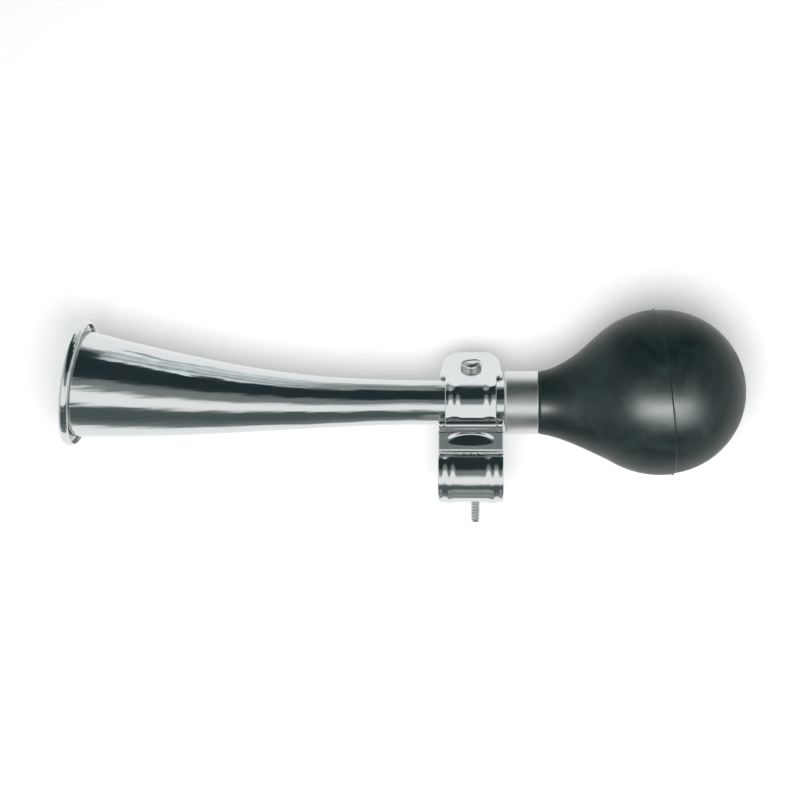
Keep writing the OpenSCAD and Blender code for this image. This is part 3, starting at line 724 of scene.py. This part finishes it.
class HORN_OT_clamp(bpy.types.Operator):
    """Makes the clamp's pressed straps: loop, waist, cradle, hinged cap and rolled knuckles"""
    bl_idname = "bulbhorn.clamp"
    bl_label = "Strap clamp"

    def execute(self, context):
        sizes = clamp_sizes(context.scene)
        front = piece("loop_front", *front_strap(sizes), finish("strap"), "strap_chrome", "clamp")
        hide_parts("front_strap")
        for side, name in ((-1, "knuckle_left"), (1, "knuckle_right")):
            piece(name, *knuckle_leaf(sizes, side), finish("strap"), "strap_chrome", "clamp")
        back = piece("cradle_back", *back_strap(sizes), finish("strap"), "strap_chrome", "clamp")
        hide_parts("back_strap")
        cap = piece("hinged_cap", *hinged_cap(sizes), finish("strap"), "strap_chrome", "clamp")
        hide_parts("saddle_cap")
        return {"FINISHED"}


# Fasteners

def screw_mesh(length_mm, pitch):
    """Points and faces of a round-head screw, its head on z = 0 and its thread cut down the shank."""
    sides, radius, head, head_height, brim = 48, 2.0, 4.5, 2.3, 0.45
    # Each ring has its height, its radius and how deep the thread is cut there, from 0 to 1.
    rings = [(head_height, 0.0, 0.0), (head_height, head * 0.15, 0.0)]
    rings += [(brim + (head_height - brim) * math.cos(a), head * (0.3 + 0.7 * math.sin(a)), 0.0)
              for a in (math.pi / 2 * k / 12 for k in range(13))]
    rings += [(0.12, head, 0.0), (0.0, head - 0.15, 0.0), (0.0, radius, 0.0), (-0.4, radius, 0.0)]
    z, tip, tip_inset, thread_depth = -0.7, 0.8, 0.6, 0.3 * pitch
    while z > -length_mm + tip:
        rings.append((z, radius, 1.0))
        z -= pitch / 8
    rings += [(-length_mm + tip * (1 - k / 7), radius - tip_inset * k / 7, 1 - k / 7) for k in range(8)]
    rings.append((-length_mm, 0.0, 0.0))
    points = []
    for z, r, thread in rings:
        for j in range(sides):
            a = 2 * math.pi * j / sides
            groove = (0.5 - 0.5 * math.cos(2 * math.pi * ((z / pitch + j / sides) % 1.0))) ** 2
            cut = thread_depth * thread * groove * min(1.0, -z - 0.3)
            points.append(((r - cut) * math.cos(a), (r - cut) * math.sin(a), z))
    return points, ring_faces(len(rings), sides, False)


def cut_slot(screw, place, tilt):
    """Cuts the driver slot across a screw's head."""
    wide, long, floor, above = 1.2, 12, 1.1, 3.2
    cutter_mesh = bpy.data.meshes.new("slot_cutter")
    shape = bmesh.new()
    bmesh.ops.create_cube(shape, size=1.0)
    for vertex in shape.verts:
        x, y = vertex.co.x * wide, vertex.co.y * long
        vertex.co = place(Vector((x * math.cos(tilt) + y * math.sin(tilt), y * math.cos(tilt) - x * math.sin(tilt),
                                  (floor + above) / 2 + vertex.co.z * (above - floor)))) * MM
    bmesh.ops.recalc_face_normals(shape, faces=shape.faces)
    shape.to_mesh(cutter_mesh)
    shape.free()
    cutter = bpy.data.objects.new("slot_cutter", cutter_mesh)
    bpy.context.scene.collection.objects.link(cutter)
    cut = screw.modifiers.new("Driver slot", "BOOLEAN")
    cut.operation = "DIFFERENCE"
    cut.solver = "EXACT"
    cut.object = cutter
    bpy.context.view_layer.update()
    result = bpy.data.meshes.new_from_object(screw.evaluated_get(bpy.context.evaluated_depsgraph_get()))
    screw.modifiers.clear()
    screw.data = result
    result.set_sharp_from_angle(angle=SHARP)
    bpy.data.objects.remove(cutter)


def nut_mesh(width, height, hole):
    """Points and faces of a hexagon nut with chamfered corners, its top on z = 0."""
    sides, chamfer = 96, width / 2 * 0.97
    rings = [(0.0, hole), (0.0, chamfer), (-0.35, width), (-height + 0.35, width),
             (-height, chamfer), (-height, hole), (-height + 0.3, hole - 0.2), (-0.3, hole - 0.2)]
    points = []
    for z, limit in rings:
        for j in range(sides):
            a = 2 * math.pi * j / sides
            flat = width / 2 / math.cos((a + math.pi / 6) % (math.pi / 3) - math.pi / 6)
            r = min(limit, flat)
            points.append((r * math.cos(a), r * math.sin(a), z))
    return points, ring_faces(len(rings), sides, True)


class HORN_OT_fasteners(bpy.types.Operator):
    """Makes the two slotted screws with their threads, the nuts, the washers and the hinge pin"""
    bl_idname = "bulbhorn.fasteners"
    bl_label = "Screws, nuts and pin"

    def execute(self, context):
        clamp = context.scene.clamp_shape
        strap = clamp.strap / MM
        saddle = context.scene.horn_shape.stem_diameter / 2 / MM + PLAY
        cap_u = JOINTS["cap_screw_turn"]["pos_m"][1] / MM / math.cos(clamp.ear_slope)
        bar_x, bar_y = JOINTS["bar_screw_turn"]["pos_m"][0] / MM, JOINTS["bar_screw_turn"]["pos_m"][1] / MM

        def on_cap(seat):
            return lambda p: Vector((p.x, *on_ear(clamp.ear_slope, p.y + cap_u, p.z + seat)))

        def on_bar(seat):
            return lambda p: Vector((p.x + bar_x, p.y + bar_y, p.z + seat))

        for name, node, long, tilt, place in (
                ("cap_screw_cut", "cap_screw", 12, 78, on_cap(saddle + strap + WASHER)),
                ("bar_screw_cut", "bar_screw", 25, 90, on_bar(BAR_EARS + strap + WASHER))):
            points, faces = screw_mesh(long, clamp.thread_pitch / MM)
            screw = piece(name, [place(Vector(p)) for p in points], faces, finish("zinc"), "zinc", node)
            cut_slot(screw, place, math.radians(tilt))
            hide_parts(node)
        for name, node, place in (("cap_nut_cut", "cap_nut", on_cap(saddle - CAP_EARS - strap)),
                                  ("bar_nut_cut", "bar_nut", on_bar(-BAR_EARS - strap))):
            points, faces = nut_mesh(width=7.0, height=2.4, hole=2.25)
            nut = piece(name, [place(Vector(p)) for p in points], faces, finish("zinc"), "zinc", "clamp")
            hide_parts(node)
        for node in ("cap_screw_washer", "bar_screw_washer"):
            dress(node, "zinc", 0.12)

        # The pin's ends are peened over into low domes.
        low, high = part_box("cap_hinge_pin")
        y, z, r = (low.y + high.y) / 2 / MM, (low.z + high.z) / 2 / MM, (high.z - low.z) / 2 / MM
        end, dome = high.x / MM, 0.8
        side = [(end - dome * (1 - math.cos(a)), r * math.sin(a)) for a in (math.pi / 2 * k / 8 for k in range(9))]
        points, faces = turned(side + [(-s, v) for s, v in side[::-1]], 40,
                               lambda s, v, a: (s, y + v * math.cos(a), z + v * math.sin(a)))
        pin = piece("hinge_pin_peened", points, faces, finish("zinc"), "zinc", "clamp")
        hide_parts("cap_hinge_pin")
        return {"FINISHED"}


class HORN_OT_reed(bpy.types.Operator):
    """Finishes the reed block, its tongue and its clip in turned brass"""
    bl_idname = "bulbhorn.reed"
    bl_label = "Reed"

    def execute(self, context):
        for node, bevel in (("reed_block", 0.05), ("reed_tongue", 0.0), ("reed_clip", 0.05)):
            dress(node, "brass", bevel)
        return {"FINISHED"}


# Stage

def white_paper(tree, place):
    """Paper that shows as white to the camera and keeps the horn's shadow, and is clear from behind."""
    fibre = add(tree, "TexNoise", {"Vector": place, "Scale": per_metre(1.5), "Detail": 3.0})
    tint = add(tree, "Mix", {"Factor": fibre, "A": shade(linear("#f4f4f4")), "B": shade(linear("#fefefe"))},
               data_type="RGBA")
    body = add(tree, "BsdfDiffuse", {"Color": tint})
    # It glows a little where it is seen, and not where it lights the horn.
    glow = add(tree, "Emission", {"Color": (1, 1, 1, 1), "Strength": 0.15})
    path = add(tree, "LightPath").outputs
    seen = add(tree, "Math", {0: path["Is Camera Ray"], 1: path["Is Transmission Ray"]}, operation="MAXIMUM")
    both = add(tree, "AddShader", {0: body, 1: glow})
    front = add(tree, "MixShader", {0: seen, 1: body, 2: both})
    clear = add(tree, "BsdfTransparent")
    behind = add(tree, "NewGeometry").outputs["Backfacing"]
    return add(tree, "MixShader", {0: behind, 1: front, 2: clear})


def glowing_card(tree, place, hex_code):
    """A glowing card, which is no lamp, with soft streaks along the horn and brighter towards the bell: chrome shows
    its glow as a streaky grey band, a painted reflection.
    """
    along = add(tree, "Mapping", {"Vector": place, "Scale": (0.12, 1.0, 1.0)})
    streak = add(tree, "TexNoise", {"Vector": along, "Scale": per_metre(24)})
    across = add(tree, "SeparateXYZ", {"Vector": place}).outputs["X"]
    # The card glows brighter towards the bell, so the painted reflection is brighter there.
    brighter = add(tree, "MapRange", {"Value": across, **limits(-0.045, -0.075, 1.4, 3.4)},
                   interpolation_type="SMOOTHSTEP")
    strength = add(tree, "MapRange", {"Value": streak, **limits(0.35, 0.65, 0.5, brighter)})
    return add(tree, "Emission", {"Color": shade(linear(hex_code)), "Strength": strength})


def studio_world(scene):
    """The room: pale behind, and in front the dark and light bands that chrome shows as its own shape."""
    world = bpy.data.worlds.new("Studio")
    scene.world = world
    world.use_nodes = True
    tree = world.node_tree
    tree.nodes.clear()
    way = add(tree, "TexCoord").outputs["Generated"]
    split = add(tree, "SeparateXYZ", {"Vector": way}).outputs
    ahead = add(tree, "Math", {0: split["Y"], 1: -1.0}, operation="MULTIPLY")
    turn = add(tree, "Math", {0: split["Z"], 1: ahead}, operation="ARCTAN2")
    # To the left and right of the camera the bands lie higher, and at the far sides the room is pale.
    sideways = add(tree, "Math", {0: split["X"]}, operation="ABSOLUTE")
    climb = add(tree, "MapRange", {"Value": sideways, **limits(0.1, 0.5, 0.0, math.radians(26))},
                interpolation_type="SMOOTHSTEP")
    lower = add(tree, "Math", {0: turn, 1: math.radians(-25)}, operation="MINIMUM")
    higher = add(tree, "Math", {0: turn, 1: climb}, operation="SUBTRACT")
    level = add(tree, "Math", {0: higher, 1: lower}, operation="MAXIMUM")
    share = add(tree, "MapRange", {"Value": level, **limits(-math.pi, math.pi)})

    # Each band starts at an angle in degrees, seen from the side: 0 is towards the camera, 90 is up.
    dark, dusk, mid, pale = (linear(code) for code in ("#233133", "#525d5d", "#7d8484", "#fcfdfd"))
    stops = ((-180, pale), (-110, pale), (-102, mid), (-76, dusk), (-48, dusk), (-40, pale), (-16, pale),
             (-5, mid), (9, mid), (18, dark), (74, dark), (84, mid), (96, pale), (180, pale))
    bands = add(tree, "ValToRGB", {"Fac": share})
    while len(bands.color_ramp.elements) < len(stops):
        bands.color_ramp.elements.new(0.5)
    for element, (degrees, tone) in zip(bands.color_ramp.elements, stops):
        element.position = (degrees + 180) / 360
        element.color = shade(tone)

    wide = add(tree, "MapRange", {"Value": sideways, **limits(0.55, 0.85)}, interpolation_type="SMOOTHSTEP")
    front = add(tree, "MapRange", {"Value": ahead, **limits(-0.2, 0.1)})
    dim = add(tree, "Math", {0: wide, 1: front}, operation="MULTIPLY")
    room = add(tree, "Mix", {"Factor": dim, "A": bands, "B": shade(linear("#cdd2d2"))}, data_type="RGBA")
    # Chrome sees the bands, the camera sees white, and every other surface is lit evenly.
    banded = add(tree, "Background", {"Color": room})
    white = add(tree, "Background", {"Color": (1, 1, 1, 1)})
    even = add(tree, "Background", {"Color": shade(linear("#d9dcdc")), "Strength": 0.5})
    path = add(tree, "LightPath").outputs
    light = add(tree, "MixShader", {0: path["Is Glossy Ray"], 1: even, 2: banded})
    through = add(tree, "Math", {0: path["Is Camera Ray"], 1: path["Is Transmission Ray"]}, operation="MAXIMUM")
    seen = add(tree, "MixShader", {0: through, 1: light, 2: white})
    add(tree, "OutputWorld", {"Surface": seen})


def stage_sheet(name, corners, faces, material):
    """A flat piece of the stage, from corners in metres."""
    mesh = bpy.data.meshes.new(name)
    mesh.from_pydata(corners, [], faces)
    for polygon in mesh.polygons:
        polygon.use_smooth = True
    mesh.materials.append(material)
    made = bpy.data.objects.new(name, mesh)
    bpy.context.scene.collection.objects.link(made)
    return made


class HORN_OT_stage(bpy.types.Operator):
    """Sets the white paper floor and backdrop, the soft light and the camera"""
    bl_idname = "bulbhorn.stage"
    bl_label = "Stage"

    def execute(self, context):
        scene = context.scene
        settings = scene.horn_stage
        scene.view_settings.view_transform = "Standard"

        # One sheet of paper: floor in front, swept up into the backdrop behind.
        back, low, sweep, half = settings.backdrop, -0.55, 0.05, 1.8
        run = [(-1.6, low)] + walk((back - sweep, low), 0.0, [(sweep, math.pi / 2)], 0.004) + [(back, 1.4)]
        paper = stage_sheet("paper", [(x, y, z) for y, z in run for x in (-half, half)],
                            [(2 * i, 2 * i + 1, 2 * i + 3, 2 * i + 2) for i in range(len(run) - 1)],
                            make_material("White paper", white_paper))
        # The chrome shows the room's light and dark bands, which the paper would hide.
        paper.visible_glossy = False
        studio_world(scene)

        # Two glowing cards near the horn, which are no lamps, show in its chrome alone as painted reflections: one
        # grey along the tube, one pale under the loop.
        for name, title, hex_code, x, half, centre, elevation, away, span in (
                ("tube_card", "Grey card", "#969d9d", -74, 62, HORN_HEIGHT, 80, 150, 112),
                ("loop_card", "Pale card", "#9aa0a0", 0, 20, 0.0, -84, 70, 60)):
            up = math.radians(elevation)
            corners = [((x + i * half) * MM, (-away * math.cos(up) + j * span / 2 * math.sin(up)) * MM,
                        (centre + away * math.sin(up) + j * span / 2 * math.cos(up)) * MM)
                       for i, j in ((-1, -1), (1, -1), (1, 1), (-1, 1))]
            card = stage_sheet(name, corners, [(0, 1, 2, 3)], make_material(title, glowing_card, hex_code))
            card.visible_camera = card.visible_diffuse = card.visible_shadow = card.visible_transmission = False

        # A soft lamp throws the shadow up the paper, and a strip that lights the rubber alone gives it its sheen.
        for name, wide, high, power, place in (
                ("Soft light", 0.4, 0.3, settings.key_power, (0.0, -0.67, -0.1)),
                ("Strip light", 0.95, 0.22, settings.strip_power, (0.1, -0.62, -0.26))):
            lamp = bpy.data.lights.new(name, "AREA")
            lamp.shape = "RECTANGLE"
            lamp.size, lamp.size_y, lamp.energy = wide, high, power
            light = bpy.data.objects.new(name, lamp)
            scene.collection.objects.link(light)
            light.location = place
            light.rotation_euler = (Vector((0, 0, 0.03)) - light.location).to_track_quat("-Z", "Y").to_euler()
            light.visible_camera = False
        rubber_only = bpy.data.collections.new("Lit by the strip light")
        rubber_only.objects.link(scene.objects["rubber_bulb"])
        scene.objects["Soft light"].visible_glossy = False
        scene.objects["Strip light"].visible_diffuse = False
        scene.objects["Strip light"].light_linking.receiver_collection = rubber_only

        camera_data = bpy.data.cameras.new("Camera")
        camera_data.lens = settings.lens
        camera_data.sensor_width = 36
        camera = bpy.data.objects.new("Camera", camera_data)
        scene.collection.objects.link(camera)
        # What the camera looks at, a little left of the clamp.
        target = Vector((-29.82 * MM, 0, 30.8 * MM))
        away = Vector((math.sin(settings.camera_turn), -math.cos(settings.camera_turn), 0))
        camera.location = target + away * settings.camera_distance
        camera.rotation_euler = (target - camera.location).to_track_quat("-Z", "Y").to_euler()
        scene.camera = camera
        return {"FINISHED"}


class HORN_PT_panel(bpy.types.Panel):
    """Lists the horn's settings and the steps that make it"""
    bl_idname = "HORN_PT_panel"
    bl_label = "Bulb horn"
    bl_space_type = "VIEW_3D"
    bl_region_type = "UI"
    bl_category = "Horn"

    def draw(self, context):
        for name, label in (("horn_shape", "Horn"), ("bulb_shape", "Bulb"), ("clamp_shape", "Clamp"),
                            ("horn_finish", "Finishes"), ("horn_stage", "Stage")):
            box = self.layout.box()
            box.label(text=label)
            group = getattr(context.scene, name)
            for prop in group.bl_rna.properties.keys():
                if prop not in ("rna_type", "name"):
                    box.prop(group, prop)
        for step in STEPS:
            self.layout.operator(step.bl_idname)


GROUPS = {"horn_shape": HornShape, "bulb_shape": BulbShape, "clamp_shape": ClampShape,
          "horn_finish": HornFinish, "horn_stage": StageSettings}
STEPS = (HORN_OT_bell, HORN_OT_ferrule, HORN_OT_bulb, HORN_OT_clamp, HORN_OT_fasteners, HORN_OT_reed,
         HORN_OT_stage)


def register():
    for cls in (*GROUPS.values(), *STEPS, HORN_PT_panel):
        bpy.utils.register_class(cls)
    for name, cls in GROUPS.items():
        setattr(bpy.types.Scene, name, PointerProperty(type=cls))


def unregister():
    for name in GROUPS:
        delattr(bpy.types.Scene, name)
    for cls in reversed((*GROUPS.values(), *STEPS, HORN_PT_panel)):
        bpy.utils.unregister_class(cls)


def main():
    register()
    bpy.ops.bulbhorn.bell()
    bpy.ops.bulbhorn.ferrule()
    bpy.ops.bulbhorn.bulb()
    bpy.ops.bulbhorn.clamp()
    bpy.ops.bulbhorn.fasteners()
    bpy.ops.bulbhorn.reed()
    bpy.ops.bulbhorn.stage()


if __name__ == "__main__":
    main()
